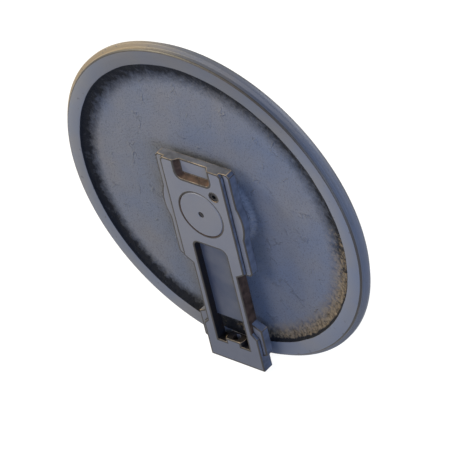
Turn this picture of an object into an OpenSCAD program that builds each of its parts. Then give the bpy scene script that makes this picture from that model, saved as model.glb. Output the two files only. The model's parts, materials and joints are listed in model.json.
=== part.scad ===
// Front idler of a tracked excavator: a cast wheel that spins on a fixed shaft held by two yoke brackets.
// Millimetres. The wheel axis is Y, the bracket tails point down (-Z) and the near side is -Y.

/* [Wheel rim] */
// Radius of the tread that the track links roll on
tread_r = 275; // [240:1:320]
// Width of the tread on each side of the centre flange
tread_w = 7.5; // [6:0.5:40]
// Height of the centre flange above the tread
flange_h = 6; // [3:0.5:12]
// Width of the centre flange at its root
flange_w = 9; // [7:0.5:50]
// Side taper of the centre flange, each side
flange_taper = 1.5; // [0.5:0.25:3]
// Radial width of the flat machined rim face
rim_face_w = 25; // [15:1:35]
// Chamfer on the outer corners of the tread
rim_chamfer = 2; // [0.5:0.25:3]

/* [Wheel web] */
// Thickness of the cast web
web_t = 6; // [5:0.5:10]
// Height of the steep wall just inside the rim face
lip_h = 4.5; // [1:0.25:6]
// Radial draft of the steep wall
lip_draft = 2; // [1:0.25:4]
// Radial width of the hollow slope from the steep wall to the web
slope_w = 24; // [10:1:34]
// Wall of the hub outside the seal housing
hub_wall = 15; // [10:0.5:25]
// How far the hub stands out past the rim face on each side
hub_proud = 4; // [3:0.5:20]
// Fillet between hub and web
hub_fillet = 8; // [3:0.5:9]

/* [Shaft and bushes] */
// Radius of the fixed shaft
shaft_r = 39.5; // [32:0.5:45]
// Chamfer on both ends of the shaft
shaft_chamfer = 1; // [0.5:0.25:2]
// Chamfer at the mouth of the shaft's bore in each bracket
bore_chamfer = 1; // [0.5:0.25:1.5]
// Radial wall of each bush
bush_wall = 6; // [3:0.5:8]
// Radial running clearance between bush and shaft
bush_clearance = 0.05; // [0.02:0.01:0.1]
// Oil space between the two bushes
bush_spacing = 3; // [2:0.5:6]
// Radius of the oil gallery drilled into the shaft
gallery_r = 3; // [2:0.25:4]

/* [Floating seals] */
// Depth of the seal housing in the hub and in each bracket
seal_depth = 6; // [5:0.25:9]
// Running gap between the hub end and the bracket
running_gap = 1; // [0.5:0.1:2]
// Space between the shaft and the metal seal rings
seal_inner_gap = 3; // [2:0.25:5]
// Radial thickness of a metal seal ring at its face
seal_ring_wall = 8; // [6:0.25:11]
// Gap left between the two lapped seal faces
seal_face_gap = 0.1; // [0.05:0.05:0.2]
// Clearance round pieces that are pressed or squeezed into a seat
seat_gap = 0.1; // [0.05:0.05:0.2]

/* [Bracket plate] */
// Thickness of the bracket from the seal housing floor to the outer face
bracket_wall = 13; // [12.5:0.5:25]
// Height of the bracket above the shaft centre
bracket_top = 92; // [86:1:120]
// Length of the bracket below the shaft centre
tail_length = 288; // [276:1:330]
// Half width of the outer plate round the shaft
plate_half_w = 58; // [54:0.5:64]
// Distance below the shaft centre where the outer plate steps in to the arms
step_down = 97; // [90:1:110]
// Height of the slope where the outer plate steps in
step_slope_h = 9; // [4:0.5:14]
// Half width across the arms
arm_half_w = 43; // [39:0.5:48]
// Distance below the shaft centre where the arms widen to the end bar
pad_down = 217; // [210:1:225]
// Half width of the end bar
pad_half_w = 52; // [49:0.5:56]
// Corner chamfer of the outer plate
plate_chamfer = 5; // [2:0.5:8]

/* [Bracket flange] */
// Depth of the back flange below the outer face
flange_drop = 5; // [4:0.5:8]
// Half width of the back flange round the shaft
flange_half_w = 71; // [65:0.5:74]
// Distance below the shaft centre where the back flange ends
flange_down = 100; // [92:1:112]
// Wall of the round boss outside the seal housing
boss_wall = 20; // [14:0.5:24]
// Half width across the guide ears
ear_half_w = 61; // [57:0.5:66]
// Distance below the shaft centre where the guide ears start
ear_down = 200; // [190:1:208]
// Height of the guide ears
ear_h = 56; // [40:1:62]
// Height of the slope under the guide ears
ear_foot_h = 4.5; // [2:0.5:8]

/* [Bracket channel] */
// Half width of the channel between the arms
channel_half_w = 31; // [26:0.5:34]
// Distance below the shaft centre where the channel starts
channel_down = 60; // [56:0.5:66]
// Depth of the channel below the outer face
channel_depth = 12; // [10:0.5:13]
// Corner radius at the upper end of the channel
channel_corner_r = 10; // [5:0.5:15]
// Distance below the shaft centre where the channel floor ends
floor_down = 210; // [190:1:215]
// Height of the end bar that bolts to the yoke
bar_h = 36; // [30:0.5:44]

/* [Top pocket] */
// Half width of the pocket mouth in the outer face
pocket_half_w = 33; // [28:0.5:38]
// Height of the pocket's lower edge above the shaft centre
pocket_up = 60; // [56:0.5:66]
// Depth of the pocket
pocket_depth = 8; // [5:0.5:9]
// Draft of the pocket walls
pocket_draft = 7; // [3:0.5:9]
// Radius of the lower corners at the pocket's floor
pocket_corner_r = 4; // [2:0.5:8]

/* [Plugs, pins and bolts] */
// Radius of the socket plug over the seal housing
plug_r = 7.5; // [5:0.25:8]
// Length of the socket plug
plug_length = 8; // [6:0.5:9]
// How far the plugs sit below the outer face
plug_inset = 0.8; // [0.5:0.1:2]
// Sideways place of the socket plug
plug_x = 35; // [32:0.5:40]
// Height of the socket plug above the shaft centre
plug_up = 44; // [40:0.5:46]
// Width across flats of the plug sockets
socket_af = 7; // [5:0.5:8]
// Depth of the plug sockets
socket_depth = 4; // [2:0.5:5]
// Radius of the oil plug in the shaft end
oil_plug_r = 5.25; // [4.5:0.25:7]
// Radius of the pin that locks the shaft in its bracket
pin_r = 3; // [2.5:0.25:3.25]
// Distance of the lock pin's axis from the outer face
pin_inset = 4.5; // [4:0.25:5]
// Depth of the lock pin in the shaft
pin_bite = 12; // [8:0.5:16]
// Radius of the yoke bolt hole in the end bar
bolt_r = 6.75; // [5.25:0.25:7.5]
// Radius of the pad round the bolt hole
bolt_pad_r = 17; // [14:0.5:20]
// Height of the pad round the bolt hole
bolt_pad_h = 8; // [4:0.5:10]

/* [Hidden] */
$fn = 96;
wheel_fn = 180;
rubber_fn = 48;
// Overshoot that keeps cutting tools clear of the faces they cut
cut = 1;

// Wheel stations along the axis, measured from the middle plane
rim_half = tread_w + flange_w / 2;
web_half = web_t / 2;
hub_half = rim_half + hub_proud;
recess_r = tread_r - rim_face_w;
slope_top_r = recess_r - lip_draft;
slope_foot_r = slope_top_r - slope_w;
slope_rise = rim_half - lip_h - web_half;
slope_arc_r = (slope_w * slope_w + slope_rise * slope_rise) / (2 * slope_rise);

// Shaft and bush
bush_in_r = shaft_r + bush_clearance;
bush_out_r = bush_in_r + bush_wall;
bush_start = bush_spacing / 2;
bush_end = hub_half - seal_depth;
bush_seat_r = bush_out_r + seat_gap;

// Floating seal: each half fills its housing and meets the other in the running gap
seal_plane = hub_half + running_gap / 2;
seal_room = seal_depth + running_gap / 2;
seal_ring_in_r = shaft_r + seal_inner_gap;
seal_ring_out_r = seal_ring_in_r + seal_ring_wall;
toric_r = seal_room / 2 - seat_gap;
toric_pitch_r = seal_ring_out_r + seat_gap + toric_r;
seal_house_r = toric_pitch_r + toric_r + seat_gap;
seal_ring_back_gap = 0.3;
seal_ring_ramp = 0.6;
seal_ring_relief = 1;
hub_r = seal_house_r + hub_wall;
fillet_r = min(hub_fillet, hub_half - web_half);
boss_r = seal_house_r + boss_wall;

// Bracket stations along the axis
bracket_back = hub_half + running_gap;
bracket_front = bracket_back + seal_depth + bracket_wall;
bracket_t = bracket_front - bracket_back;
flange_t = bracket_t - flange_drop;
shaft_half = bracket_front;
pad_slope_h = pad_half_w - arm_half_w;
bar_down = tail_length - bar_h;
bolt_z = (bracket_back + bracket_front) / 2;

// O-ring that seals the shaft in the bracket
shaft_ring_r = 1.4;
shaft_groove_w = 2 * shaft_ring_r + 2 * seat_gap;
shaft_groove_wall = 1.5;
shaft_groove_start = bracket_back + seal_depth + shaft_groove_wall;

// Plugs and lock pin
pin_z = bracket_front - pin_inset;
pin_top = shaft_r - pin_bite;
pin_chamfer = 0.8;
plug_top = bracket_front - plug_inset;
plug_chamfer = 0.6;
passage_r = 3;
oil_plug_pip_r = 1.6;
oil_plug_pip_h = 0.5;

paint = "#6c7080";
steel = "#8d8f96";
bronze = "#a8865a";
nitrile = "#2b2b2e";

// Sketches are drawn as seen from outside, and extrude outwards from the middle plane
module near_side() {
    rotate([90, 0, 0]) children();
}

module far_side() {
    rotate([0, 0, 180]) near_side() children();
}

// A rectangle from one corner to the opposite one
module box_2d(low, high) {
    translate(low) square(high - low);
}

// A ring of rectangular section between two radii and two stations
module ring(r_in, r_out, z_low, z_high) {
    rotate_extrude() box_2d([r_in, z_low], [r_out, z_high]);
}

module o_ring(pitch_r, section_r, z) {
    rotate_extrude() translate([pitch_r, z]) circle(section_r, $fn = rubber_fn);
}

// A closed outline from points on one side of the middle plane and their mirror images
function both_sides(points) = concat(
    points, [for (i = [len(points) - 1 : -1 : 0]) [points[i].x, -points[i].y]]
);

// Wheel section: bore, seal housing, hub, web, steep lip, machined face, tread and tapered flange
module wheel_outline() {
    polygon(both_sides([
        [bush_seat_r, bush_end],
        [seal_house_r, bush_end],
        [seal_house_r, hub_half],
        [hub_r, hub_half],
        [hub_r, web_half + fillet_r],
        [hub_r + fillet_r, web_half + fillet_r],
        [hub_r + fillet_r, web_half],
        [slope_foot_r, web_half],
        [slope_top_r, rim_half - lip_h],
        [recess_r, rim_half],
        [tread_r - rim_chamfer, rim_half],
        [tread_r, rim_half - rim_chamfer],
        [tread_r, flange_w / 2],
        [tread_r + flange_h, flange_w / 2 - flange_taper]
    ]));
}

// Round cutters that hollow the rim slope and the corner between hub and web, on one side
module wheel_hollows() {
    translate([hub_r + fillet_r, web_half + fillet_r]) circle(fillet_r);
    intersection() {
        translate([slope_foot_r, web_half + slope_arc_r]) circle(slope_arc_r, $fn = wheel_fn);
        box_2d([slope_foot_r, web_half - cut], [slope_top_r, rim_half + cut]);
    }
}

module idler_wheel() {
    color(paint) near_side() rotate_extrude($fn = wheel_fn) difference() {
        wheel_outline();
        wheel_hollows();
        mirror([0, 1]) wheel_hollows();
    }
}

module bush() {
    color(bronze) ring(bush_in_r, bush_out_r, bush_start, bush_end);
}

// Metal seal ring between two stations, with its lapped face at z_face
module seal_ring(z_back, z_face) {
    color(steel) rotate_extrude() polygon([
        [seal_ring_in_r, z_back],
        [seal_ring_out_r - seal_ring_ramp, z_back],
        [seal_ring_out_r, z_face],
        [seal_ring_in_r + seal_ring_relief, z_face],
        [seal_ring_in_r, z_face + seal_ring_relief * sign(z_back - z_face)]
    ]);
}

module turning_seal_ring() {
    seal_ring(bush_end + seal_ring_back_gap, seal_plane - seal_face_gap / 2);
}

module fixed_seal_ring() {
    seal_ring(bracket_back + seal_depth - seal_ring_back_gap, seal_plane + seal_face_gap / 2);
}

module turning_seal_o_ring() {
    color(nitrile) o_ring(toric_pitch_r, toric_r - seat_gap, seal_plane - seal_room / 2);
}

module fixed_seal_o_ring() {
    color(nitrile) o_ring(toric_pitch_r, toric_r - seat_gap, seal_plane + seal_room / 2);
}

module shaft_o_ring() {
    color(nitrile) o_ring(
        shaft_r + seat_gap + shaft_ring_r, shaft_ring_r, shaft_groove_start + shaft_groove_w / 2
    );
}

// Radial hole that points down the tail at the lock pin's station
module pin_hole(z) {
    translate([0, 0, z]) rotate([90, 0, 0]) translate([0, 0, pin_top - seat_gap])
        cylinder(r = pin_r + seat_gap, h = channel_down + cut - pin_top);
}

module shaft() {
    color(steel) near_side() difference() {
        rotate_extrude() polygon([
            [0, -shaft_half],
            [shaft_r - shaft_chamfer, -shaft_half],
            [shaft_r, shaft_chamfer - shaft_half],
            [shaft_r, shaft_half - shaft_chamfer],
            [shaft_r - shaft_chamfer, shaft_half],
            [0, shaft_half]
        ]);
        cylinder(r = gallery_r, h = shaft_half + cut);
        rotate([-90, 0, 0]) cylinder(r = gallery_r, h = shaft_r + cut);
        translate([0, 0, plug_top - plug_length - seat_gap])
            cylinder(r = oil_plug_r + seat_gap, h = plug_length + plug_inset + seat_gap + cut);
        for (side = [-1, 1]) pin_hole(side * pin_z);
    }
}

// Closing plug of the shaft's oil gallery, with the small pip left by its turning centre
module oil_plug() {
    color(steel) near_side() translate([0, 0, plug_top - plug_length]) {
        cylinder(r = oil_plug_r, h = plug_length);
        cylinder(r = oil_plug_pip_r, h = plug_length + oil_plug_pip_h);
    }
}

module lock_pin() {
    pin_length = channel_down - pin_top - pin_chamfer;
    color(steel) translate([0, 0, pin_z]) rotate([90, 0, 0]) translate([0, 0, pin_top]) rotate_extrude()
        polygon([
            [0, 0],
            [pin_r - pin_chamfer, 0],
            [pin_r, pin_chamfer],
            [pin_r, pin_length - pin_chamfer],
            [pin_r - pin_chamfer, pin_length],
            [0, pin_length]
        ]);
}

// Hexagon-socket pipe plug
module seal_plug() {
    color(steel) translate([plug_x, plug_up, plug_top - plug_length]) difference() {
        rotate_extrude() polygon([
            [0, 0],
            [plug_r, 0],
            [plug_r, plug_length - plug_chamfer],
            [plug_r - plug_chamfer, plug_length],
            [0, plug_length]
        ]);
        translate([0, 0, plug_length - socket_depth])
            cylinder(d = socket_af / cos(30), h = socket_depth + cut, $fn = 6);
    }
}

// Right half of the outer plate, with the step to the arms and the wider end bar
module plate_half_outline() {
    polygon([
        [0, bracket_top],
        [plate_half_w - plate_chamfer, bracket_top],
        [plate_half_w, bracket_top - plate_chamfer],
        [plate_half_w, -step_down],
        [arm_half_w, -step_down - step_slope_h],
        [arm_half_w, -pad_down],
        [pad_half_w, -pad_down - pad_slope_h],
        [pad_half_w, -tail_length],
        [0, -tail_length]
    ]);
}

// Right half of the back flange: upper guide plate and lower guide ear
module flange_half_outline() {
    ear_slope = ear_half_w - pad_half_w;
    polygon([
        [0, bracket_top],
        [flange_half_w - plate_chamfer, bracket_top],
        [flange_half_w, bracket_top - plate_chamfer],
        [flange_half_w, -flange_down + plate_chamfer],
        [flange_half_w - plate_chamfer, -flange_down],
        [0, -flange_down]
    ]);
    polygon([
        [0, -ear_down],
        [arm_half_w, -ear_down],
        [ear_half_w, -ear_down - ear_slope],
        [ear_half_w, -ear_down - ear_h],
        [pad_half_w, -ear_down - ear_h - ear_foot_h],
        [0, -ear_down - ear_h]
    ]);
}

module both_halves() {
    children();
    mirror([1, 0]) children();
}

// Channel between the arms, with rounded upper corners
module channel_outline() {
    corner_x = channel_half_w - channel_corner_r;
    box_2d([-channel_half_w, -bar_down], [channel_half_w, -channel_down - channel_corner_r]);
    box_2d([-corner_x, -bar_down], [corner_x, -channel_down]);
    for (side = [-1, 1])
        translate([side * corner_x, -channel_down - channel_corner_r]) circle(channel_corner_r);
}

// Pocket that opens through the top edge, with drafted walls and rounded lower corners
module top_pocket() {
    rise = pocket_depth + cut;
    spread = pocket_draft * rise / pocket_depth;
    floor_x = pocket_half_w - pocket_draft;
    floor_y = pocket_up + pocket_draft;
    corner_x = floor_x - pocket_corner_r;
    corner_y = floor_y + pocket_corner_r;
    open_y = bracket_top + cut;
    translate([0, 0, bracket_front - pocket_depth]) {
        translate([0, open_y, 0]) rotate([90, 0, 0]) linear_extrude(open_y - corner_y)
            polygon([[-floor_x, 0], [floor_x, 0], [floor_x + spread, rise], [-floor_x - spread, rise]]);
        translate([-corner_x, 0, 0]) rotate([90, 0, 90]) linear_extrude(2 * corner_x)
            polygon([[floor_y, 0], [open_y, 0], [open_y, rise], [floor_y - spread, rise]]);
        for (side = [-1, 1]) translate([side * corner_x, corner_y, 0])
            cylinder(r1 = pocket_corner_r, r2 = pocket_corner_r + spread, h = rise);
    }
}

// Pad on the end bar that the head of the yoke bolt seats on
module bolt_pad() {
    intersection() {
        translate([0, -bar_down - cut, bolt_z]) rotate([-90, 0, 0])
            cylinder(r = bolt_pad_r, h = bolt_pad_h + cut);
        translate([-bolt_pad_r, -tail_length, bracket_back])
            cube([2 * bolt_pad_r, tail_length, bracket_t]);
    }
}

module bracket_casting() {
    difference() {
        translate([0, 0, bracket_back]) {
            linear_extrude(bracket_t) both_halves() plate_half_outline();
            linear_extrude(flange_t) {
                both_halves() flange_half_outline();
                circle(boss_r);
            }
        }
        translate([0, 0, bracket_front - channel_depth]) linear_extrude(channel_depth + cut) channel_outline();
        translate([0, 0, bracket_back - cut]) linear_extrude(bracket_t + 2 * cut)
            box_2d([-channel_half_w, -bar_down], [channel_half_w, -floor_down]);
        top_pocket();
    }
    bolt_pad();
}

module bracket() {
    bore_r = shaft_r + seat_gap;
    house_top = bracket_back + seal_depth;
    plug_hole_depth = plug_inset + plug_length + seat_gap;
    color(paint) difference() {
        bracket_casting();
        translate([0, 0, bracket_back - cut]) {
            cylinder(r = bore_r, h = bracket_t + 2 * cut);
            cylinder(r = seal_house_r, h = seal_depth + cut);
        }
        translate([0, 0, bracket_front - bore_chamfer])
            cylinder(r1 = bore_r, r2 = bore_r + bore_chamfer + cut, h = bore_chamfer + cut);
        ring(shaft_r, shaft_r + 2 * shaft_ring_r + 2 * seat_gap,
             shaft_groove_start, shaft_groove_start + shaft_groove_w);
        translate([plug_x, plug_up, bracket_front - plug_hole_depth])
            cylinder(r = plug_r + seat_gap, h = plug_hole_depth + cut);
        translate([plug_x, plug_up, house_top - cut])
            cylinder(r = passage_r, h = bracket_front - house_top);
        pin_hole(pin_z);
        translate([0, -tail_length - cut, bolt_z]) rotate([-90, 0, 0])
            cylinder(r = bolt_r, h = bar_h + bolt_pad_h + 2 * cut);
    }
}

idler_wheel();
near_side() bush();  // near_bush
far_side() bush();  // far_bush
near_side() turning_seal_ring();  // near_turning_seal_ring
far_side() turning_seal_ring();  // far_turning_seal_ring
near_side() turning_seal_o_ring();  // near_turning_seal_o_ring
far_side() turning_seal_o_ring();  // far_turning_seal_o_ring
shaft();
oil_plug();
near_side() bracket();  // near_bracket
far_side() bracket();  // far_bracket
near_side() lock_pin();  // near_lock_pin
far_side() lock_pin();  // far_lock_pin
near_side() seal_plug();  // near_seal_plug
far_side() seal_plug();  // far_seal_plug
near_side() shaft_o_ring();  // near_shaft_o_ring
far_side() shaft_o_ring();  // far_shaft_o_ring
near_side() fixed_seal_ring();  // near_fixed_seal_ring
far_side() fixed_seal_ring();  // far_fixed_seal_ring
near_side() fixed_seal_o_ring();  // near_fixed_seal_o_ring
far_side() fixed_seal_o_ring();  // far_fixed_seal_o_ring
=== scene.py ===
"""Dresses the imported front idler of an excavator: cast wheel, brackets, finishes and a plain studio."""

import json
import math

import bmesh
import bpy
from bpy.props import FloatProperty, FloatVectorProperty, IntProperty, PointerProperty
from mathutils import Matrix, Vector, noise


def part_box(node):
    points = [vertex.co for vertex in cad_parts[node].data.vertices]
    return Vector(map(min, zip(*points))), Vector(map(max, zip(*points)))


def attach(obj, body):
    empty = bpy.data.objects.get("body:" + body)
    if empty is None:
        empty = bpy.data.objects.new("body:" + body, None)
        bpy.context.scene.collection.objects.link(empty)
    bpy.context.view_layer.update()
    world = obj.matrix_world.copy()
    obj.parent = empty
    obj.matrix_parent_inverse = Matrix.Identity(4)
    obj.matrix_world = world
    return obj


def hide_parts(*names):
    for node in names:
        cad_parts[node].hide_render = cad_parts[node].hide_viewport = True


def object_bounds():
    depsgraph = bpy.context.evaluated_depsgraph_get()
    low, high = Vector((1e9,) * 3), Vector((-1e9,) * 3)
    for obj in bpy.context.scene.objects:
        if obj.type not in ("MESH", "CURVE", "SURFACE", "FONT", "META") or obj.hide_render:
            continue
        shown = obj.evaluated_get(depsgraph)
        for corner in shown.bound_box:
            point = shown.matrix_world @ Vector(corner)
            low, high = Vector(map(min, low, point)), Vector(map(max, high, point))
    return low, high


bl_info = {
    "name": "Excavator front idler",
    "version": (1, 0, 0),
    "blender": (4, 5, 0),
    "location": "3D View > Sidebar > Idler",
    "description": "Cast wheel, yoke brackets, finishes and studio round the packed idler",
    "category": "Object",
}

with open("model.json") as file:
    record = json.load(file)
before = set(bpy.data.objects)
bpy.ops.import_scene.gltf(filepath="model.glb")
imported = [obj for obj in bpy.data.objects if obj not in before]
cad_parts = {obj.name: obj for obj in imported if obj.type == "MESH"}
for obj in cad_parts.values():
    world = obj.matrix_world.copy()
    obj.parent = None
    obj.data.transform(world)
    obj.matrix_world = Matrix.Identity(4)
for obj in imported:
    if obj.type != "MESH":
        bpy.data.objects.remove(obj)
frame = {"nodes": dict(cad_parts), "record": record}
CAD_BOX = [list(corner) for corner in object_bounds()]

MM = 0.001
ALONG_Y = 1
ALONG_Z = 2
# Points of a CAD mesh that lie closer than this are one point
MERGE = 0.001 * MM
# Faces of a CAD mesh that meet at less than this are one face
SAME_FACE = math.radians(1)
# Corners of a section or a casting that turn by more than this are rounded
CORNER = math.radians(25)
# Steps in the rounding of a corner or an edge
ROUND_STEPS = 2
# Faces that meet at more than this are shaded with a crease
CREASE = math.radians(35)
# How far round a bore its edges and walls are looked for
BORE_MARGIN = 0.5 * MM
# How near to the top or to an opening of a bracket a face counts as part of it
NEAR = 1 * MM
# Gap between the ends of the brackets and the floor
FLOOR_GAP = 1 * MM
# Share of the axis in a normal: outer faces of a bracket have more than this
OUTER_FACE = 0.99
# Share of the axis in a normal: walls of a bracket have less than this
WALL = 0.75
# Share of the axis in a normal: the worn edge of the rim has more than this, and the tread less
RIM_EDGE = 0.07
# Make-up of the lumps on the cast wall: how smooth they are, how much finer each layer is, and the layers
LUMP_SMOOTHNESS = 0.8
LUMP_FINENESS = 2.0
LUMP_LAYERS = 3
# How far from the recess edge the casting strays with it, and how high above the web that starts
STRAY_ZONE = 3 * MM
STRAY_START = 2 * MM
# Shift that keeps the pattern of the strays apart from that of the swells
STRAY_SHIFT = Vector((7, 0, 3))
# Cosines of the angle from the middle of a stretch of dust and painted light, or of soil and painted shade,
# where it starts and where it is full
WALL_DUST_AND_LIGHT = 0.4, 0.95
TREAD_DUST_AND_LIGHT = 0.64, 0.92
TOP_SHADE = 0.4, 1
# Places in the lists of finishes, of the wheel and of a bracket
CAST, TURNED, RIM_LINE = range(3)
FACE, EDGE, CHANNEL_FLOOR, BROWN_WALL, OUTER_WALL, GRIMY_SHADED_WALL = range(6)


def linear(hex_colour):
    """Linear colour of an sRGB hex value, with full alpha."""
    shares = [int(hex_colour[i:i + 2], 16) / 255 for i in (1, 3, 5)]
    return [s / 12.92 if s <= 0.04045 else ((s + 0.055) / 1.055) ** 2.4 for s in shares] + [1.0]


def colour(name, description, hex_colour):
    """Colour property whose default is an sRGB hex value."""
    return FloatVectorProperty(
        name=name, description=description, default=linear(hex_colour), subtype="COLOR", size=4,
        min=0, max=1)


def length(name, description, millimetres):
    """Length property whose default is in millimetres."""
    return FloatProperty(name=name, description=description, default=millimetres * MM, min=0, unit="LENGTH")


def angle(name, description, degrees):
    """Angle property whose default is in degrees."""
    return FloatProperty(name=name, description=description, default=math.radians(degrees), subtype="ANGLE")


def number(name, description, value):
    """Plain number property."""
    return FloatProperty(name=name, description=description, default=value, min=0)


def place(name, description, metres):
    """Position property whose default is in metres."""
    return FloatVectorProperty(name=name, description=description, default=metres, subtype="TRANSLATION")


def per(millimetres):
    """Texture scale whose features are about that wide."""
    return 1 / (millimetres * MM)


def ring_scale(millimetres):
    """Wave texture scale whose rings are that far apart, since they are pi / 10 apart at scale 1."""
    return per(millimetres) * math.pi / 10


def ease(value, start, end):
    """Share from 0 at start to 1 at end, with soft ends."""
    share = min(max((value - start) / (end - start), 0), 1)
    return share * share * (3 - 2 * share)


class IdlerWheelSettings(bpy.types.PropertyGroup):
    """Sizes of the cast wheel, and the soil, dust, painted shade and painted light on it"""

    steps: IntProperty(name="Steps", description="Faces round the wheel", default=540, min=90)
    corner: length("Corner rounding", "Rounding of the wheel's turned and cast corners", 0.6)
    ring_step: length("Ring step", "Distance between the rings of faces across the cast web", 4)
    bare_band: length("Bare band", "Width of the bare band on the rim face beside its outer edge", 0.6)
    web_lump: length("Web lump height", "How far the cast web swells and dips", 0.45)
    web_lump_size: length("Web lump size", "Width of the swells and dips of the web", 34)
    wall_lump: length("Wall lump height", "How rough the cast wall inside the rim is", 1.5)
    wall_lump_size: length("Wall lump size", "Width of the lumps on the wall inside the rim", 11)
    wall_lump_run: length("Wall lump run", "Length of those lumps across the wall", 10)
    edge_wander: length("Edge wander", "How far the cast edge of the recess strays from a circle", 0.8)
    edge_wander_size: length("Edge wander size", "Length of the strays along the recess edge", 26)
    # The soil inside the rim is grime and painted shade, reaching farther on the side where shade falls
    soil_and_shade_fade: length("Soil fade", "How far the soil inside the rim fades out over the web", 20)
    soil_and_shade_lean: number("Soil lean", "Share by which it reaches farther on one side and less opposite", 0.55)
    shade_side: angle("Soil side", "Side where the soil reaches farthest, turned from +X towards +Z", 40)
    bare_lumps: number("Bare lumps", "Share of the soil that the highest lumps on the wall shed", 0.22)
    hub_soil: length("Hub soil", "How far soil reaches over the web from the hub", 30)
    hub_share: number("Hub share", "Share of soil beside the hub", 0.3)
    # The dark lip is painted shade along the recess edge
    lip: length("Dark lip", "Width of the dark line along the recess edge", 6)
    # The dust is also painted light, on the side the key light comes from
    lit_dust_side: angle("Dust side", "Side that dust fell from, turned from +X towards +Z", 135)
    lit_dust_stray: number("Dust stray", "How far the lumps make the dust on the wall stray", 0.2)
    rim_soil: number("Rim soil", "Share of soil all round the rim faces", 0.1)
    # The soil at the top of the rim faces is painted shade
    top_shade: number("Top soil", "Share of soil that the top of the rim faces has besides", 0.36)
    # The soil on the treads away from the dust is painted shade
    tread_shade: number("Tread soil", "Share of soil on the treads where no dust fell", 0.42)


class IdlerBracketSettings(bpy.types.PropertyGroup):
    """Sizes of the edges and of the stained walls of the brackets"""

    edge: length("Edge rounding", "Rounding of the outer edges of the bracket castings", 0.9)
    edge_line: length("Edge line", "Width of the bare line on the outer faces beside their edges", 2)
    arm_reach: length("Arm reach", "Half width across the arms, inside which the side walls are brown", 47)
    channel_reach: length("Channel reach", "Half width between the arms, where the walls are grimy", 37)
    # The grime in the channel and bolt opening is also painted shade
    grime_and_shade_reach: length("Grime reach", "How far beyond the channel and bolt opening their grime goes", 10)
    bolt_hole: length("Bolt hole", "Radius of the yoke bolt hole, whose edges stay sharp", 6.75)


class IdlerFinishSettings(bpy.types.PropertyGroup):
    """Colours of the finishes and of the painted shade and light, and where the primer is painted darker as
    shade
    """

    paint: colour("Primer", "Grey primer on the brackets", "#676b78")
    paint_cool: colour("Cool primer", "Bluer patches of the primer", "#5f6a80")
    paint_warm: colour("Warm primer", "Dustier patches of the primer", "#73747a")
    # The deep primer is painted shade on the channel floors and towards the yoke
    shade_primer: colour("Deep primer", "Darker primer on the channel floors and near the yoke", "#363f55")
    grit: colour("Grit", "Dark hollows, scars and nicks of the castings", "#4c4f59")
    # The grime colour is also painted shade, inside the rim and in the channels
    grime_and_shade: colour("Grime", "Blue-black grime inside the rim and in the channels", "#0f121a")
    # The dust colour is also painted light on the wall inside the rim
    dust: colour("Dust", "Dry dust on the wall inside the rim", "#7d7161")
    wall: colour("Thin primer", "Brown primer that shows on the side walls of the brackets", "#55433a")
    # The tread colour is dust and painted light on the upper tread
    tread_dust_and_light: colour("Tread", "Dry dust on the treads", "#786e60")
    # This dark also serves as painted shade at the top of the rim, on the treads and in the channels
    edge_dark_and_shade: colour("Worn edge", "Dark oxide on bare edges, in stains and in soil", "#1b1614")
    # The pale edges are a painted highlight where edges face up
    edge_highlight: colour("Rubbed edge", "Pale edges that face up", "#a8957e")
    steel: colour("Steel", "Ground steel of the pins and seal rings", "#8d8f96")
    black: colour("Black steel", "Oiled black steel of the plugs", "#3a3a3d")
    bronze: colour("Bronze", "Bearing bronze of the bushes", "#a8865a")
    rubber: colour("Rubber", "Nitrile rubber of the seals", "#232326")
    dark_from: length("Dark from", "Depth below the shaft where the primer starts to darken", 60)
    dark_to: length("Dark to", "Depth below the shaft where the primer is darkest", 260)


class IdlerStudioSettings(bpy.types.PropertyGroup):
    """Camera, lamps, sky and floor"""

    azimuth: angle("Azimuth", "Camera angle round the idler, from straight ahead", 47.1)
    elevation: angle("Elevation", "Camera angle above the horizon", 36.6)
    roll: angle("Roll", "Tilt of the camera about its line of sight", 14.0)
    aim_right: angle("Aim right", "Turn of the camera to the right of the wheel's centre", 0.04)
    aim_up: angle("Aim up", "Turn of the camera above the wheel's centre", -0.36)
    distance: length("Distance", "Distance of the camera from the wheel's centre", 6000)
    focal: number("Focal length", "Focal length of the camera in millimetres", 325)
    sensor: number("Sensor width", "Width of the camera's sensor in millimetres", 36)
    key: colour("Key light", "Warm light that grazes the wheel from the upper left", "#fff0cc")
    key_power: number("Key power", "Power of the key light in watts", 62)
    key_size: length("Key size", "Width of the key light", 500)
    key_place: place("Key place", "Where the key light stands", (-1.75, -0.6, 1.5))
    front: colour("Front light", "Warm white light from ahead, left and above", "#fff4e6")
    front_power: number("Front power", "Power of the front light in watts", 19)
    front_size: length("Front size", "Width of the front light", 1000)
    front_place: place("Front place", "Where the front light stands", (-0.9, -1.4, 1.0))
    fill: colour("Fill light", "Cool light from ahead and the right", "#bdd5ff")
    fill_power: number("Fill power", "Power of the fill light in watts", 23)
    fill_size: length("Fill size", "Width of the fill light", 900)
    fill_place: place("Fill place", "Where the fill light stands", (1.4, -0.9, 0.3))
    back: colour("Back light", "Cool white light on the far side", "#f4f7ff")
    back_power: number("Back power", "Power of the back light in watts", 34)
    back_size: length("Back size", "Width of the back light", 1200)
    back_place: place("Back place", "Where the back light stands", (0.7, 1.7, 0.9))
    sky: colour("Sky", "Colour of the light from all round", "#a9b9d8")
    sky_strength: number("Sky strength", "Strength of the light from all round", 0.1)
    floor: colour("Floor", "Grey of the floor for the light that falls on it", "#6e6e6e")
    floor_white: number("Floor white", "White that the camera sees on the floor besides that light", 0.93)
    floor_reach: length("Floor reach", "Half the width of the floor", 6000)


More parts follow.
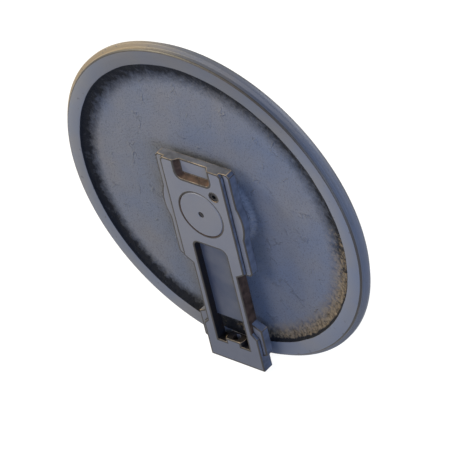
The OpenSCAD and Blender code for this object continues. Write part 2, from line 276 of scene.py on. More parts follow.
def add_node(tree, kind, links, settings=None, out=0):
    """Adds a node, sets its options, fills its sockets with values or links, and returns one output."""
    node = tree.nodes.new(kind)
    for key, value in (settings or {}).items():
        setattr(node, key, value)
    sockets = dict(enumerate(node.inputs))
    sockets.update({socket.identifier: socket for socket in node.inputs})
    for key, value in links.items():
        if isinstance(value, bpy.types.NodeSocket):
            tree.links.new(value, sockets[key])
        else:
            sockets[key].default_value = value
    return node.outputs[out] if node.outputs else None


def new_material(name):
    """Empty node material and its tree."""
    material = bpy.data.materials.new(name)
    material.use_nodes = True
    material.node_tree.nodes.clear()
    return material, material.node_tree


def primed_cast_steel(finish):
    """Grey alkyd primer brushed over sand-cast steel: dull, with the sand's grit and a few mould scars
    showing through, bluer and dustier patches, and inside the rim blue-black grime with painted shade, and
    dry dust with painted light on the side the light comes from."""
    material, tree = new_material("primed_sand_cast_steel")
    spot = add_node(tree, "ShaderNodeTexCoord", {}, out="Object")
    patches = add_node(tree, "ShaderNodeTexNoise", {"Vector": spot, "Scale": per(85), "Detail": 3.0})
    patch = add_node(tree, "ShaderNodeMapRange", {"Value": patches, "From Min": 0.25, "From Max": 0.75})
    paint = add_node(tree, "ShaderNodeMix", {
        "Factor_Float": patch, "A_Color": finish.paint_cool, "B_Color": finish.paint_warm,
    }, {"data_type": "RGBA"}, out=2)
    # Sand marks are about 0.5 mm wide, which is too fine to show, so they are drawn five times as coarse
    grit = add_node(tree, "ShaderNodeTexNoise", {"Vector": spot, "Scale": per(2.6), "Detail": 2.0})
    hollow = add_node(tree, "ShaderNodeMapRange", {
        "Value": grit, "From Min": 0.48, "From Max": 0.26, "To Max": 0.75})
    gritty = add_node(tree, "ShaderNodeMix", {
        "Factor_Float": hollow, "A_Color": paint, "B_Color": finish.grit,
    }, {"data_type": "RGBA"}, out=2)
    # Scars of the mould are short bent lines, the borders of 45 mm cells kept in a few places only
    bend = add_node(tree, "ShaderNodeTexNoise", {
        "Vector": spot, "Scale": per(16), "Detail": 2.0}, out="Color")
    bent = add_node(tree, "ShaderNodeVectorMath", {
        0: bend, 1: [24 * MM] * 3, 2: spot}, {"operation": "MULTIPLY_ADD"})
    border = add_node(tree, "ShaderNodeTexVoronoi", {
        "Vector": bent, "Scale": per(45)}, {"feature": "DISTANCE_TO_EDGE"})
    line = add_node(tree, "ShaderNodeMapRange", {
        "Value": border, "From Max": 0.035, "To Min": 1.0, "To Max": 0.0})
    few = add_node(tree, "ShaderNodeTexNoise", {"Vector": spot, "Scale": per(27), "Detail": 1.0})
    kept = add_node(tree, "ShaderNodeMapRange", {"Value": few, "From Min": 0.56, "From Max": 0.62})
    scar = add_node(tree, "ShaderNodeMath", {0: line, 1: kept}, {"operation": "MULTIPLY"})
    scarred_share = add_node(tree, "ShaderNodeMath", {0: scar, 1: 0.32}, {"operation": "MULTIPLY"})
    scarred = add_node(tree, "ShaderNodeMix", {
        "Factor_Float": scarred_share, "A_Color": gritty, "B_Color": finish.grit,
    }, {"data_type": "RGBA"}, out=2)
    # Crumbs of soil make the borders of the grime and painted shade, and of the dust and painted light,
    # ragged
    crumbs = add_node(tree, "ShaderNodeTexNoise", {
        "Vector": spot, "Scale": per(5), "Detail": 4.0, "Roughness": 0.62})
    dust = add_node(tree, "ShaderNodeAttribute", {}, {"attribute_name": "dust"}, out="Fac")
    lit_dust_sum = add_node(tree, "ShaderNodeMath", {0: crumbs, 1: 2.2, 2: dust}, {"operation": "MULTIPLY_ADD"})
    lit_dusted = add_node(tree, "ShaderNodeMapRange", {"Value": lit_dust_sum, "From Min": 1.6, "From Max": 2.3})
    dirt_and_shading = add_node(tree, "ShaderNodeMix", {
        "Factor_Float": lit_dusted, "A_Color": finish.grime_and_shade, "B_Color": finish.dust,
    }, {"data_type": "RGBA"}, out=2)
    # Soil is grime and painted shade inside the rim, darkest at the recess edge and leaning to one side
    soil = add_node(tree, "ShaderNodeAttribute", {}, {"attribute_name": "soil"}, out="Fac")
    soil_and_shade_sum = add_node(tree, "ShaderNodeMath", {0: crumbs, 1: 0.5, 2: soil}, {"operation": "MULTIPLY_ADD"})
    soil_and_shade_cover = add_node(tree, "ShaderNodeMapRange", {"Value": soil_and_shade_sum, "From Min": 0.36, "From Max": 1.14})
    skin = add_node(tree, "ShaderNodeMix", {
        "Factor_Float": soil_and_shade_cover, "A_Color": scarred, "B_Color": dirt_and_shading,
    }, {"data_type": "RGBA"}, out=2)
    raised = add_node(tree, "ShaderNodeMath", {0: scar, 1: grit}, {"operation": "ADD"})
    fine = add_node(tree, "ShaderNodeBump", {"Height": raised, "Strength": 1.0, "Distance": 0.8 * MM})
    rough_share = add_node(tree, "ShaderNodeMapRange", {"Value": soil, "To Min": 0.2, "To Max": 1.0})
    bump = add_node(tree, "ShaderNodeBump", {
        "Height": crumbs, "Strength": rough_share, "Distance": 2 * MM, "Normal": fine})
    gloss = add_node(tree, "ShaderNodeMapRange", {"Value": patches, "To Min": 0.5, "To Max": 0.66})
    dull = add_node(tree, "ShaderNodeMath", {0: soil_and_shade_cover, 1: 0.3, 2: gloss}, {"operation": "MULTIPLY_ADD"})
    shader = add_node(tree, "ShaderNodeBsdfPrincipled", {
        "Base Color": skin, "Roughness": dull, "Specular IOR Level": 0.2, "Normal": bump})
    add_node(tree, "ShaderNodeOutputMaterial", {"Surface": shader})
    return material


def primed_turned_steel(finish):
    """Primer on the turned rim: smoother than the casting, with soil, painted shade at the top of the rim
    faces and on the treads away from the dust, dry dust and painted light on the upper tread, patches,
    faint tool rings and a few nicks."""
    material, tree = new_material("primed_turned_steel")
    spot = add_node(tree, "ShaderNodeTexCoord", {}, out="Object")
    patches = add_node(tree, "ShaderNodeTexNoise", {"Vector": spot, "Scale": per(70), "Detail": 4.0})
    patch = add_node(tree, "ShaderNodeMapRange", {"Value": patches, "From Min": 0.25, "From Max": 0.75})
    paint = add_node(tree, "ShaderNodeMix", {
        "Factor_Float": patch, "A_Color": finish.paint_cool, "B_Color": finish.paint_warm,
    }, {"data_type": "RGBA"}, out=2)
    # Dust and painted light on the upper tread
    dust = add_node(tree, "ShaderNodeAttribute", {}, {"attribute_name": "dust"}, out="Fac")
    lit_dusty = add_node(tree, "ShaderNodeMix", {
        "Factor_Float": dust, "A_Color": paint, "B_Color": finish.tread_dust_and_light,
    }, {"data_type": "RGBA"}, out=2)
    # Soil and painted shade at the top of the rim faces and on the treads away from the light
    soil = add_node(tree, "ShaderNodeAttribute", {}, {"attribute_name": "soil"}, out="Fac")
    soiled_and_shaded = add_node(tree, "ShaderNodeMix", {
        "Factor_Float": soil, "A_Color": lit_dusty, "B_Color": finish.edge_dark_and_shade,
    }, {"data_type": "RGBA"}, out=2)
    nicks = add_node(tree, "ShaderNodeTexNoise", {"Vector": spot, "Scale": per(7), "Detail": 1.0})
    nick = add_node(tree, "ShaderNodeMapRange", {
        "Value": nicks, "From Min": 0.3, "From Max": 0.24, "To Max": 0.8})
    skin = add_node(tree, "ShaderNodeMix", {
        "Factor_Float": nick, "A_Color": soiled_and_shaded, "B_Color": finish.grit,
    }, {"data_type": "RGBA"}, out=2)
    # Tool rings are about 0.4 mm apart on a turned face, and are drawn 4 mm apart so that they show
    rings = add_node(tree, "ShaderNodeTexWave", {
        "Vector": spot, "Scale": ring_scale(4), "Distortion": 0.6, "Detail": 1.0, "Detail Scale": 1.0,
    }, {"wave_type": "RINGS", "rings_direction": "Y"}, out="Fac")
    tooled = add_node(tree, "ShaderNodeBump", {"Height": rings, "Strength": 0.12, "Distance": 0.2 * MM})
    grain = add_node(tree, "ShaderNodeTexNoise", {"Vector": spot, "Scale": per(3), "Detail": 2.0})
    bump = add_node(tree, "ShaderNodeBump", {
        "Height": grain, "Strength": 0.2, "Distance": 0.3 * MM, "Normal": tooled})
    gloss = add_node(tree, "ShaderNodeMapRange", {"Value": patches, "To Min": 0.42, "To Max": 0.58})
    shader = add_node(tree, "ShaderNodeBsdfPrincipled", {
        "Base Color": skin, "Roughness": gloss, "Normal": bump})
    add_node(tree, "ShaderNodeOutputMaterial", {"Surface": shader})
    return material


def primed_bracket_steel(name, finish, paint):
    """Grey primer on the machined faces of a bracket or shaft: smooth, with dusty patches, and painted
    shade that darkens it towards the yoke."""
    material, tree = new_material(name)
    spot = add_node(tree, "ShaderNodeTexCoord", {}, out="Object")
    patches = add_node(tree, "ShaderNodeTexNoise", {"Vector": spot, "Scale": per(60), "Detail": 4.0})
    patch = add_node(tree, "ShaderNodeMapRange", {
        "Value": patches, "From Min": 0.36, "From Max": 0.64, "To Max": 0.5})
    mixed = add_node(tree, "ShaderNodeMix", {
        "Factor_Float": patch, "A_Color": paint, "B_Color": finish.paint_warm,
    }, {"data_type": "RGBA"}, out=2)
    # The primer is painted darker towards the yoke, as shade
    height = add_node(tree, "ShaderNodeSeparateXYZ", {"Vector": spot}, out="Z")
    yoke_shade = add_node(tree, "ShaderNodeMapRange", {
        "Value": height, "From Min": -finish.dark_from, "From Max": -finish.dark_to, "To Max": 0.55})
    skin = add_node(tree, "ShaderNodeMix", {
        "Factor_Float": yoke_shade, "A_Color": mixed, "B_Color": finish.shade_primer,
    }, {"data_type": "RGBA"}, out=2)
    grain = add_node(tree, "ShaderNodeTexNoise", {"Vector": spot, "Scale": per(2.6), "Detail": 2.0})
    fine = add_node(tree, "ShaderNodeBump", {"Height": grain, "Strength": 0.18, "Distance": 0.4 * MM})
    dents = add_node(tree, "ShaderNodeTexNoise", {"Vector": spot, "Scale": per(14), "Detail": 4.0})
    bump = add_node(tree, "ShaderNodeBump", {
        "Height": dents, "Strength": 0.2, "Distance": 0.6 * MM, "Normal": fine})
    gloss = add_node(tree, "ShaderNodeMapRange", {"Value": dents, "To Min": 0.4, "To Max": 0.56})
    shader = add_node(tree, "ShaderNodeBsdfPrincipled", {
        "Base Color": skin, "Roughness": gloss, "Normal": bump})
    add_node(tree, "ShaderNodeOutputMaterial", {"Surface": shader})
    return material


def stained_bracket_steel(name, dark, light):
    """Sand-cast side wall of a bracket under thin primer: dull and rough, stained between two tints."""
    material, tree = new_material(name)
    spot = add_node(tree, "ShaderNodeTexCoord", {}, out="Object")
    stains = add_node(tree, "ShaderNodeTexNoise", {"Vector": spot, "Scale": per(14), "Detail": 4.0})
    stain = add_node(tree, "ShaderNodeMapRange", {"Value": stains, "From Min": 0.3, "From Max": 0.7})
    skin = add_node(tree, "ShaderNodeMix", {
        "Factor_Float": stain, "A_Color": dark, "B_Color": light,
    }, {"data_type": "RGBA"}, out=2)
    grain = add_node(tree, "ShaderNodeTexNoise", {"Vector": spot, "Scale": per(2.6), "Detail": 3.0})
    bump = add_node(tree, "ShaderNodeBump", {"Height": grain, "Strength": 0.6, "Distance": 0.6 * MM})
    gloss = add_node(tree, "ShaderNodeMapRange", {"Value": stains, "To Min": 0.55, "To Max": 0.75})
    shader = add_node(tree, "ShaderNodeBsdfPrincipled", {
        "Base Color": skin, "Roughness": gloss, "Specular IOR Level": 0.1, "Normal": bump})
    add_node(tree, "ShaderNodeOutputMaterial", {"Surface": shader})
    return material


def worn_highlit_edge(name, finish, painted_highlight):
    """Edge of a casting where the primer has gone: dark oxide, with a pale painted highlight in places
    where it faces up, by the share given."""
    material, tree = new_material(name)
    spot = add_node(tree, "ShaderNodeTexCoord", {}, out="Object")
    facing = add_node(tree, "ShaderNodeTexCoord", {}, out="Normal")
    chips = add_node(tree, "ShaderNodeTexNoise", {
        "Vector": spot, "Scale": per(18), "Detail": 5.0, "Roughness": 0.7})
    chip = add_node(tree, "ShaderNodeMapRange", {"Value": chips, "From Min": 0.4, "From Max": 0.6})
    rise = add_node(tree, "ShaderNodeSeparateXYZ", {"Vector": facing}, out="Z")
    # Edges that face up get a pale painted highlight, broken by chips
    lit_upward = add_node(tree, "ShaderNodeMapRange", {
        "Value": rise, "From Min": 0.35, "From Max": 0.7, "To Max": painted_highlight})
    bare = add_node(tree, "ShaderNodeMath", {0: chip, 1: lit_upward}, {"operation": "MULTIPLY"})
    skin = add_node(tree, "ShaderNodeMix", {
        "Factor_Float": bare, "A_Color": finish.edge_dark_and_shade, "B_Color": finish.edge_highlight,
    }, {"data_type": "RGBA"}, out=2)
    bump = add_node(tree, "ShaderNodeBump", {"Height": chips, "Strength": 0.4, "Distance": 0.4 * MM})
    gloss = add_node(tree, "ShaderNodeMapRange", {"Value": chips, "To Min": 0.6, "To Max": 0.4})
    shader = add_node(tree, "ShaderNodeBsdfPrincipled", {
        "Base Color": skin, "Roughness": gloss, "Normal": bump})
    add_node(tree, "ShaderNodeOutputMaterial", {"Surface": shader})
    return material


def turned_metal(name, finish, tint, roughness):
    """Bare metal off the lathe: fine rings about the axis, and a thin film of old oil that dulls it."""
    material, tree = new_material(name)
    spot = add_node(tree, "ShaderNodeTexCoord", {}, out="Object")
    film = add_node(tree, "ShaderNodeTexNoise", {"Vector": spot, "Scale": per(12), "Detail": 4.0})
    smear = add_node(tree, "ShaderNodeMapRange", {
        "Value": film, "From Min": 0.4, "From Max": 0.75, "To Max": 0.6})
    skin = add_node(tree, "ShaderNodeMix", {
        "Factor_Float": smear, "A_Color": tint, "B_Color": finish.edge_dark_and_shade,
    }, {"data_type": "RGBA"}, out=2)
    # Lathe rings are drawn 1.5 mm apart so that they show
    rings = add_node(tree, "ShaderNodeTexWave", {
        "Vector": spot, "Scale": ring_scale(1.5), "Distortion": 0.4,
    }, {"wave_type": "RINGS", "rings_direction": "Y"}, out="Fac")
    bump = add_node(tree, "ShaderNodeBump", {"Height": rings, "Strength": 0.15, "Distance": 0.1 * MM})
    dulled = roughness + 0.25
    gloss = add_node(tree, "ShaderNodeMapRange", {"Value": film, "To Min": roughness, "To Max": dulled})
    shader = add_node(tree, "ShaderNodeBsdfPrincipled", {
        "Base Color": skin, "Metallic": 1.0, "Roughness": gloss, "Normal": bump})
    add_node(tree, "ShaderNodeOutputMaterial", {"Surface": shader})
    return material


def nitrile_rubber(finish):
    """Moulded nitrile rubber: near black, dull, with a little bloom."""
    material, tree = new_material("nitrile_rubber")
    spot = add_node(tree, "ShaderNodeTexCoord", {}, out="Object")
    bloom = add_node(tree, "ShaderNodeTexNoise", {"Vector": spot, "Scale": per(5), "Detail": 3.0})
    share = add_node(tree, "ShaderNodeMapRange", {
        "Value": bloom, "From Min": 0.5, "From Max": 0.8, "To Max": 0.3})
    skin = add_node(tree, "ShaderNodeMix", {
        "Factor_Float": share, "A_Color": finish.rubber, "B_Color": finish.grit,
    }, {"data_type": "RGBA"}, out=2)
    gloss = add_node(tree, "ShaderNodeMapRange", {"Value": bloom, "To Min": 0.5, "To Max": 0.75})
    shader = add_node(tree, "ShaderNodeBsdfPrincipled", {"Base Color": skin, "Roughness": gloss})
    add_node(tree, "ShaderNodeOutputMaterial", {"Surface": shader})
    return material


def finished_piece(name, bm, materials):
    """Object of a finished mesh at the origin, smooth but for its creases."""
    mesh = bpy.data.meshes.new(name)
    bm.to_mesh(mesh)
    bm.free()
    mesh.set_sharp_from_angle(angle=CREASE)
    for material in materials:
        mesh.materials.append(material)
    piece = bpy.data.objects.new(name, mesh)
    bpy.context.scene.collection.objects.link(piece)
    return piece


def merged_copy(node):
    """Copy of a CAD node's mesh with its loose triangles joined."""
    bm = bmesh.new()
    bm.from_mesh(frame["nodes"][node].data)
    bmesh.ops.remove_doubles(bm, verts=bm.verts[:], dist=MERGE)
    return bm


def wheel_section():
    """Closed outline where the half plane through the axis and +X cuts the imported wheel."""
    bm = merged_copy("idler_wheel")
    bmesh.ops.bisect_plane(
        bm, geom=bm.verts[:] + bm.edges[:] + bm.faces[:], dist=MERGE, plane_co=(0, 0, 0),
        plane_no=(0, 0, 1), clear_inner=True, clear_outer=True)
    bmesh.ops.delete(bm, geom=[v for v in bm.verts if v.co.x < 0], context="VERTS")
    bmesh.ops.remove_doubles(bm, verts=bm.verts[:], dist=MERGE)
    return bm


class WheelShape:
    """Radii and reaches of the wheel's zones, read from its section."""

    def __init__(self, bm, settings):
        points = [(v.co.x, abs(v.co.y)) for v in bm.verts]
        half_way = max(r for r, _ in points) / 2
        self.settings = settings
        self.hub_reach = max(reach for _, reach in points)
        self.hub_r = max(r for r, reach in points if reach > self.hub_reach - MERGE)
        self.rim_reach = max(reach for r, reach in points if r > half_way)
        rim_face = [r for r, reach in points if r > half_way and reach > self.rim_reach - MERGE]
        self.recess_r = min(rim_face)
        self.bare_r = max(rim_face) - settings.bare_band
        self.tread_r = max(r for r, reach in points if reach > self.rim_reach / 2)
        inner = [(r, reach) for r, reach in points if self.hub_r < r < self.recess_r]
        self.web_reach = min(reach for _, reach in inner)
        self.foot_r = max(r for r, reach in inner if reach < self.web_reach + MERGE)

    def is_cast(self, radius, reach):
        """Whether a point lies on the rough casting and not on a turned face."""
        on_hub_end = reach > self.hub_reach - self.settings.corner
        return self.hub_r - self.settings.corner / 2 < radius < self.recess_r - MERGE and not on_hub_end

    def wall_share(self, radius):
        """Share of the rough wall inside the rim: 0 on the web, 1 near the recess edge."""
        foot = self.foot_r - self.settings.soil_and_shade_fade / 2
        return ease(radius, foot, self.recess_r - self.settings.ring_step)

    def soil_and_shade_share(self, radius, fade):
        """Share of soil and painted shade: full inside the rim, from where it fades over the web, and some
        at the hub.
        """
        rim = ease(radius, self.foot_r - fade, self.recess_r - self.settings.lip / 2)
        off_hub = ease(radius, self.hub_r, self.hub_r + self.settings.hub_soil)
        return max(rim, self.settings.hub_share * (1 - off_hub))


def round_corners(bm, width):
    """Rounds the corners of an outline."""
    corners = []
    for vert in bm.verts:
        one, other = (edge.other_vert(vert).co - vert.co for edge in vert.link_edges)
        if math.pi - one.angle(other) > CORNER:
            corners.append(vert)
    bmesh.ops.bevel(
        bm, geom=corners, offset=width, offset_type="OFFSET", affect="VERTICES", segments=ROUND_STEPS,
        profile=0.5, material=-1, clamp_overlap=True)


def divide_runs(bm, shape, step):
    """Cuts the long straight runs of the cast part short, and the rim faces at their bare band."""
    for edge in bm.edges[:]:
        radii = [v.co.x for v in edge.verts]
        cast = min(radii) > shape.hub_r - step and max(radii) < shape.recess_r + step / 4
        cuts = math.floor(edge.calc_length() / step)
        if cast and cuts:
            bmesh.ops.subdivide_edges(bm, edges=[edge], cuts=cuts)
    bmesh.ops.bisect_plane(
        bm, geom=bm.verts[:] + bm.edges[:], dist=MERGE, plane_co=(shape.bare_r, 0, 0), plane_no=(1, 0, 0))


def roughen_casting(bm, shape, settings):
    """Swells, dips and soils the cast faces, paints shade and light into their soil and dust, and lets the
    recess edge stray as a cast edge does.
    """
    bm.normal_update()
    soil = bm.verts.layers.float.new("soil")
    dust = bm.verts.layers.float.new("dust")
    lit_dust_from = Vector((math.cos(settings.lit_dust_side), 0, math.sin(settings.lit_dust_side)))
    shade_to = Vector((math.cos(settings.shade_side), 0, math.sin(settings.shade_side)))
    moves = []
    for vert in bm.verts:
        outward = Vector((vert.co.x, 0, vert.co.z))
        radius = outward.length
        outward.normalize()
        move = Vector()
        if shape.is_cast(radius, abs(vert.co.y)):
            wall = shape.wall_share(radius)
            swell = noise.noise(vert.co / settings.web_lump_size) * settings.web_lump
            spot = outward * shape.recess_r / settings.wall_lump_size
            spot.y = math.copysign(radius / settings.wall_lump_run, vert.co.y)
            lump = noise.fractal(spot, LUMP_SMOOTHNESS, LUMP_FINENESS, LUMP_LAYERS)
            off_hub = ease(radius, shape.hub_r, shape.hub_r + settings.hub_soil / 2)
            # The lip is painted shade along the recess edge, where the lumps also die out
            lip = ease(radius, shape.recess_r - settings.lip, shape.recess_r - settings.corner)
            rough = lump * settings.wall_lump * wall * (1 - lip)
            move = vert.normal * off_hub * (swell * (1 - wall) + rough)
            # The soil leans to one side as painted shade
            fade = settings.soil_and_shade_fade * (1 + settings.soil_and_shade_lean * outward.dot(shade_to))
            settled_and_shaded = shape.soil_and_shade_share(radius, fade) * (1 - settings.bare_lumps * lump)
            vert[soil] = min(max(settled_and_shaded, lip), 1)
            # Dust on the wall is also painted light on the side that faces the light
            lit_dusty_side = settings.lit_dust_stray * lump - outward.dot(lit_dust_from)
            vert[dust] = ease(lit_dusty_side, *WALL_DUST_AND_LIGHT) * (1 - lip)
        # On the tread: dust and painted light on the lit side, painted shade on the rest
        elif radius > shape.bare_r + MERGE:
            vert[dust] = ease(outward.dot(lit_dust_from), *TREAD_DUST_AND_LIGHT)
            vert[soil] = settings.tread_shade * (1 - vert[dust])
        # The top of the rim faces gets painted shade besides the soil all round
        elif radius > shape.recess_r - settings.corner:
            vert[soil] = settings.rim_soil + settings.top_shade * ease(outward.z, *TOP_SHADE)
        above_web = abs(vert.co.y) > shape.web_reach + STRAY_START
        if above_web and abs(radius - shape.recess_r) < STRAY_ZONE:
            stray = noise.noise(vert.co / settings.edge_wander_size + STRAY_SHIFT)
            move += outward * stray * settings.edge_wander
        moves.append(move)
    for vert, move in zip(bm.verts, moves):
        vert.co += move


def sort_wheel_faces(bm, shape):
    """Gives each face of the wheel the place of its finish."""
    bm.normal_update()
    for face in bm.faces:
        face.smooth = True
        centre = face.calc_center_median()
        radius = math.hypot(centre.x, centre.z)
        if shape.is_cast(radius, abs(centre.y)):
            face.material_index = CAST
        elif shape.bare_r < radius < shape.tread_r and abs(face.normal.y) > RIM_EDGE:
            face.material_index = RIM_LINE
        else:
            face.material_index = TURNED


class IDLER_OT_wheel(bpy.types.Operator):
    """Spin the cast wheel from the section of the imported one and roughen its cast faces"""

    bl_idname = "idler.wheel"
    bl_label = "Cast wheel"

    def execute(self, context):
        settings = context.scene.idler_wheel
        finish = context.scene.idler_finish
        bm = wheel_section()
        shape = WheelShape(bm, settings)
        round_corners(bm, settings.corner)
        divide_runs(bm, shape, settings.ring_step)
        bmesh.ops.spin(
            bm, geom=bm.verts[:] + bm.edges[:], cent=(0, 0, 0), axis=(0, 1, 0), angle=math.tau,
            steps=settings.steps, use_merge=True)
        bmesh.ops.remove_doubles(bm, verts=bm.verts[:], dist=MERGE)
        bmesh.ops.recalc_face_normals(bm, faces=bm.faces[:])
        roughen_casting(bm, shape, settings)
        sort_wheel_faces(bm, shape)
        # In the order of CAST to RIM_LINE
        materials = [
            primed_cast_steel(finish),
            primed_turned_steel(finish),
            worn_highlit_edge("worn_rim_edge", finish, painted_highlight=0.0),
        ]
        wheel = finished_piece("cast_wheel", bm, materials)
        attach(wheel, "wheel")
        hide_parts("idler_wheel")
        return {"FINISHED"}


def is_in_bore(point, axis, centre, radius):
    """Whether a point lies within a radius of the axis of a bore."""
    offset = point - centre
    offset[axis] = 0
    return offset.length < radius


def is_bored(element, bores):
    """Whether one of the bores holds all points of an edge or face."""
    return any(all(is_in_bore(vert.co, *bore) for vert in element.verts) for bore in bores)


def seal_housing(side):
    """Housing of the floating seal in a bracket: its axis, a point on it and its radius."""
    return ALONG_Y, Vector(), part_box(f"{side}_fixed_seal_o_ring")[1].x + BORE_MARGIN


def outer_bores(side, settings):
    """Bores on the outer side of a bracket, each with its axis, a point on it and its radius."""
    low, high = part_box(f"{side}_bracket")
    plug_low, plug_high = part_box(f"{side}_seal_plug")
    pin_low, pin_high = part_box(f"{side}_lock_pin")
    return [
        (ALONG_Y, Vector(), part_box(f"{side}_shaft_o_ring")[1].x + BORE_MARGIN),
        (ALONG_Y, (plug_low + plug_high) / 2, (plug_high.x - plug_low.x) / 2 + BORE_MARGIN),
        (ALONG_Z, (pin_low + pin_high) / 2, (pin_high.x - pin_low.x) / 2 + BORE_MARGIN),
        (ALONG_Z, (low + high) / 2, settings.bolt_hole + BORE_MARGIN),
    ]


def opening_box(name):
    """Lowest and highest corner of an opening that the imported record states."""
    openings = frame["record"]["physics"]["openings"]
    return next(opening["box_m"] for opening in openings if opening["name"] == name)


def is_beside(point, box, margin):
    """Whether a point lies in a box or within a margin of it."""
    low, high = box
    return all(low[i] - margin < point[i] < high[i] + margin for i in range(3))


def sort_bracket_faces(bm, side, settings):
    """Gives each face of a bracket the place of its finish, apart from the worn edges."""
    channel = opening_box(f"{side}_channel")
    grimy_shaded = channel, opening_box(f"{side}_bolt_access")
    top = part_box(f"{side}_bracket")[1].z
    bm.normal_update()
    for face in bm.faces:
        face.smooth = True
        centre = face.calc_center_median()
        wall = abs(face.normal.y) < WALL
        outside = abs(centre.x) > settings.arm_reach or centre.z > top - NEAR
        between_arms = abs(centre.x) < settings.channel_reach
        inside = between_arms and any(is_beside(centre, box, settings.grime_and_shade_reach) for box in grimy_shaded)
        if not wall and is_beside(centre, channel, NEAR):
            face.material_index = CHANNEL_FLOOR
        elif not wall:
            face.material_index = FACE
        elif outside:
            face.material_index = OUTER_WALL
        # Walls in the channel and bolt opening get grime and painted shade
        elif inside:
            face.material_index = GRIMY_SHADED_WALL
        else:
            face.material_index = BROWN_WALL


def round_edges(bm, sharp, width):
    """Rounds the convex edges of a bracket outside its sharp bores, and returns the new faces."""
    edges = [
        edge for edge in bm.edges
        if edge.is_convex and edge.calc_face_angle() > CORNER and not is_bored(edge, sharp)
    ]
    return bmesh.ops.bevel(
        bm, geom=edges, offset=width, offset_type="OFFSET", affect="EDGES", segments=ROUND_STEPS,
        profile=0.5, material=-1, clamp_overlap=True)["faces"]


def run(loop):
    """Step along a face from the start of one of its sides to the end."""
    return loop.link_loop_next.vert.co - loop.vert.co


def line_outer_faces(bm, side, bores, width):
    """Cuts a narrow bare line along the edges of the faces that look outwards, and returns its faces."""
    low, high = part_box(f"{side}_bracket")
    middle = (low.y + high.y) / 2
    looking_out = [
        face for face in bm.faces
        if face.normal.y * math.copysign(1, middle) > OUTER_FACE
        and abs(face.calc_center_median().y) > abs(middle) and not is_bored(face, bores)
    ]
    line = bmesh.ops.inset_region(
        bm, faces=looking_out, thickness=width, depth=0, use_boundary=True, use_even_offset=True)["faces"]
    inner_edges = {edge for face in looking_out for edge in face.edges}
    # In a corner narrower than the line its inner side runs backwards, and is drawn together
    crossed = [
        loop.edge for face in line for loop in face.loops
        if loop.edge in inner_edges and run(loop).dot(run(loop.link_loop_next.link_loop_next)) > 0
    ]
    bmesh.ops.collapse(bm, edges=crossed)
    return [face for face in line if face.is_valid]


class IDLER_OT_brackets(bpy.types.Operator):
    """Round the outer edges of both bracket castings and wear them"""

    bl_idname = "idler.brackets"
    bl_label = "Yoke brackets"

    def execute(self, context):
        settings = context.scene.idler_bracket
        finish = context.scene.idler_finish
        # In the order of FACE to GRIMY_SHADED_WALL
        materials = [
            primed_bracket_steel("primed_bracket_face", finish, finish.paint),
            worn_highlit_edge("worn_bracket_edge", finish, painted_highlight=0.9),
            # The channel floor is painted darker, as shade
            primed_bracket_steel("primed_channel_floor", finish, finish.shade_primer),
            stained_bracket_steel("brown_bracket_wall", finish.edge_dark_and_shade, finish.wall),
            stained_bracket_steel("primed_bracket_wall", finish.grit, finish.paint),
            # Channel walls are grime and painted shade
            stained_bracket_steel("grimy_channel_wall", finish.grime_and_shade, finish.edge_dark_and_shade),
        ]
        for side in ("near", "far"):
            bm = merged_copy(f"{side}_bracket")
            bmesh.ops.dissolve_limit(bm, angle_limit=SAME_FACE, verts=bm.verts[:], edges=bm.edges[:])
            bores = outer_bores(side, settings)
            rounded = round_edges(bm, [*bores, seal_housing(side)], settings.edge)
            sort_bracket_faces(bm, side, settings)
            for face in rounded:
                face.material_index = EDGE
            for face in line_outer_faces(bm, side, bores, settings.edge_line):
                face.material_index = EDGE
            bracket = finished_piece(f"{side}_bracket_casting", bm, materials)
            shading = bracket.modifiers.new("flat_faces", "WEIGHTED_NORMAL")
            shading.keep_sharp = True
            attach(bracket, "frame")
            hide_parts(f"{side}_bracket")
        return {"FINISHED"}


class IDLER_OT_inner_pieces(bpy.types.Operator):
    """Give the shaft, plugs, pins, bushes and seals their finishes"""

    bl_idname = "idler.inner_pieces"
    bl_label = "Shaft, plugs and seals"

    def execute(self, context):
        finish = context.scene.idler_finish
        finishes = {
            "shaft": primed_bracket_steel("primed_shaft_end", finish, finish.paint),
            "oil_plug": turned_metal("oiled_black_steel", finish, finish.black, roughness=0.3),
            "seal_plug": turned_metal("black_plug_steel", finish, finish.black, roughness=0.35),
            "lock_pin": turned_metal("ground_pin_steel", finish, finish.steel, roughness=0.25),
            "seal_ring": turned_metal("lapped_seal_steel", finish, finish.steel, roughness=0.15),
            "bush": turned_metal("bearing_bronze", finish, finish.bronze, roughness=0.3),
            "o_ring": nitrile_rubber(finish),
        }
        for name, node in frame["nodes"].items():
            for ending, material in finishes.items():
                if name.endswith(ending):
                    node.data.materials.clear()
                    node.data.materials.append(material)
        return {"FINISHED"}


def add_lamp(name, settings):
    """Square soft lamp of the studio that shines on the wheel's centre."""
    data = bpy.data.lights.new(f"{name}_lamp", "AREA")
    data.color = getattr(settings, name)[:3]
    data.energy = getattr(settings, f"{name}_power")
    data.size = getattr(settings, f"{name}_size")
    lamp = bpy.data.objects.new(f"{name}_lamp", data)
    bpy.context.scene.collection.objects.link(lamp)
    lamp.location = getattr(settings, f"{name}_place")
    lamp.rotation_euler = (-lamp.location).to_track_quat("-Z", "Y").to_euler()


def seen_directly(tree):
    """1 for rays from the camera or off gloss and glass, 0 for light that falls on the idler."""
    camera = add_node(tree, "ShaderNodeLightPath", {}, out="Is Camera Ray")
    gloss = add_node(tree, "ShaderNodeLightPath", {}, out="Is Glossy Ray")
    glass = add_node(tree, "ShaderNodeLightPath", {}, out="Is Transmission Ray")
    mirrored = add_node(tree, "ShaderNodeMath", {0: gloss, 1: glass}, {"operation": "MAXIMUM"})
    return add_node(tree, "ShaderNodeMath", {0: camera, 1: mirrored}, {"operation": "MAXIMUM"})


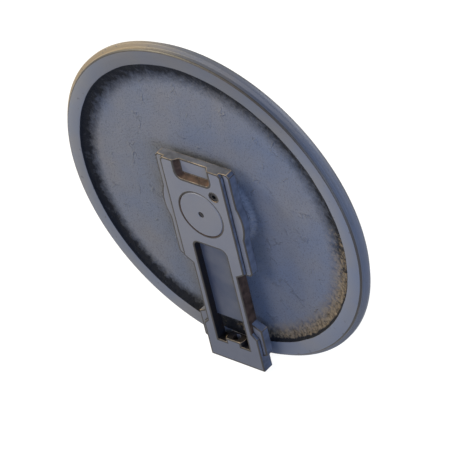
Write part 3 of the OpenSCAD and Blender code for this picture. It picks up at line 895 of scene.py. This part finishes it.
class IDLER_OT_studio(bpy.types.Operator):
    """Set the camera, a pale floor, four soft lamps and a white background"""

    bl_idname = "idler.studio"
    bl_label = "Studio"

    def execute(self, context):
        settings = context.scene.idler_studio
        context.scene.view_settings.view_transform = "Standard"
        self.add_camera(context, settings)
        self.add_floor(settings)
        self.add_world(context, settings)
        for name in ("key", "front", "fill", "back"):
            add_lamp(name, settings)
        return {"FINISHED"}

    def add_camera(self, context, settings):
        """Camera of the photograph, from its angles round the wheel's centre."""
        data = bpy.data.cameras.new("photo_camera")
        data.sensor_width = settings.sensor
        data.lens = settings.focal
        camera = bpy.data.objects.new("photo_camera", data)
        context.scene.collection.objects.link(camera)
        level = math.cos(settings.elevation)
        away = Vector((
            math.sin(settings.azimuth) * level,
            -math.cos(settings.azimuth) * level,
            math.sin(settings.elevation),
        ))
        turn = away.to_track_quat("Z", "Y").to_matrix()
        turn = turn @ Matrix.Rotation(-settings.aim_right, 3, "Y")
        turn = turn @ Matrix.Rotation(settings.aim_up, 3, "X")
        turn = turn @ Matrix.Rotation(-settings.roll, 3, "Z")
        camera.matrix_world = Matrix.Translation(away * settings.distance) @ turn.to_4x4()
        context.scene.camera = camera

    def add_floor(self, settings):
        """Pale floor under the bracket ends that keeps the shadow and looks white to the camera."""
        bm = bmesh.new()
        bmesh.ops.create_grid(bm, x_segments=2, y_segments=2, size=settings.floor_reach)
        bmesh.ops.translate(bm, verts=bm.verts[:], vec=(0, 0, CAD_BOX[0][2] - FLOOR_GAP))
        material, tree = new_material("pale_studio_floor")
        white = add_node(tree, "ShaderNodeMath", {
            0: seen_directly(tree), 1: settings.floor_white}, {"operation": "MULTIPLY"})
        glow = add_node(tree, "ShaderNodeEmission", {"Strength": white})
        matt = add_node(tree, "ShaderNodeBsdfDiffuse", {"Color": settings.floor})
        shader = add_node(tree, "ShaderNodeAddShader", {"Shader": matt, "Shader_001": glow})
        add_node(tree, "ShaderNodeOutputMaterial", {"Surface": shader})
        finished_piece("studio_floor", bm, [material])

    def add_world(self, context, settings):
        """White background for the camera, dim cool light from all round for the idler."""
        world = bpy.data.worlds.new("studio_world")
        world.use_nodes = True
        tree = world.node_tree
        tree.nodes.clear()
        dim = add_node(tree, "ShaderNodeBackground", {
            "Color": settings.sky, "Strength": settings.sky_strength})
        white = add_node(tree, "ShaderNodeBackground", {"Color": (1, 1, 1, 1), "Strength": 1.0})
        sky = add_node(tree, "ShaderNodeMixShader", {
            "Fac": seen_directly(tree), "Shader": dim, "Shader_001": white})
        add_node(tree, "ShaderNodeOutputWorld", {"Surface": sky})
        context.scene.world = world


class IDLER_PT_panel(bpy.types.Panel):
    """Lists the settings and the steps"""

    bl_idname = "IDLER_PT_panel"
    bl_label = "Front idler"
    bl_space_type = "VIEW_3D"
    bl_region_type = "UI"
    bl_category = "Idler"

    def draw(self, context):
        for group, step in STEPS.items():
            box = self.layout.box()
            box.operator(step.bl_idname)
            settings = getattr(context.scene, group)
            for name in settings.__annotations__:
                box.prop(settings, name)


GROUPS = {
    "idler_studio": IdlerStudioSettings,
    "idler_wheel": IdlerWheelSettings,
    "idler_bracket": IdlerBracketSettings,
    "idler_finish": IdlerFinishSettings,
}
STEPS = {
    "idler_studio": IDLER_OT_studio,
    "idler_wheel": IDLER_OT_wheel,
    "idler_bracket": IDLER_OT_brackets,
    "idler_finish": IDLER_OT_inner_pieces,
}
CLASSES = [*GROUPS.values(), *STEPS.values(), IDLER_PT_panel]


def register():
    """Registers the classes and hangs the settings on the scene."""
    for cls in CLASSES:
        bpy.utils.register_class(cls)
    for name, group in GROUPS.items():
        setattr(bpy.types.Scene, name, PointerProperty(type=group))


def unregister():
    """Takes the settings and the classes away again."""
    for name in GROUPS:
        delattr(bpy.types.Scene, name)
    for cls in reversed(CLASSES):
        bpy.utils.unregister_class(cls)


def main():
    register()
    bpy.ops.idler.studio()
    bpy.ops.idler.wheel()
    bpy.ops.idler.brackets()
    bpy.ops.idler.inner_pieces()


if __name__ == "__main__":
    main()
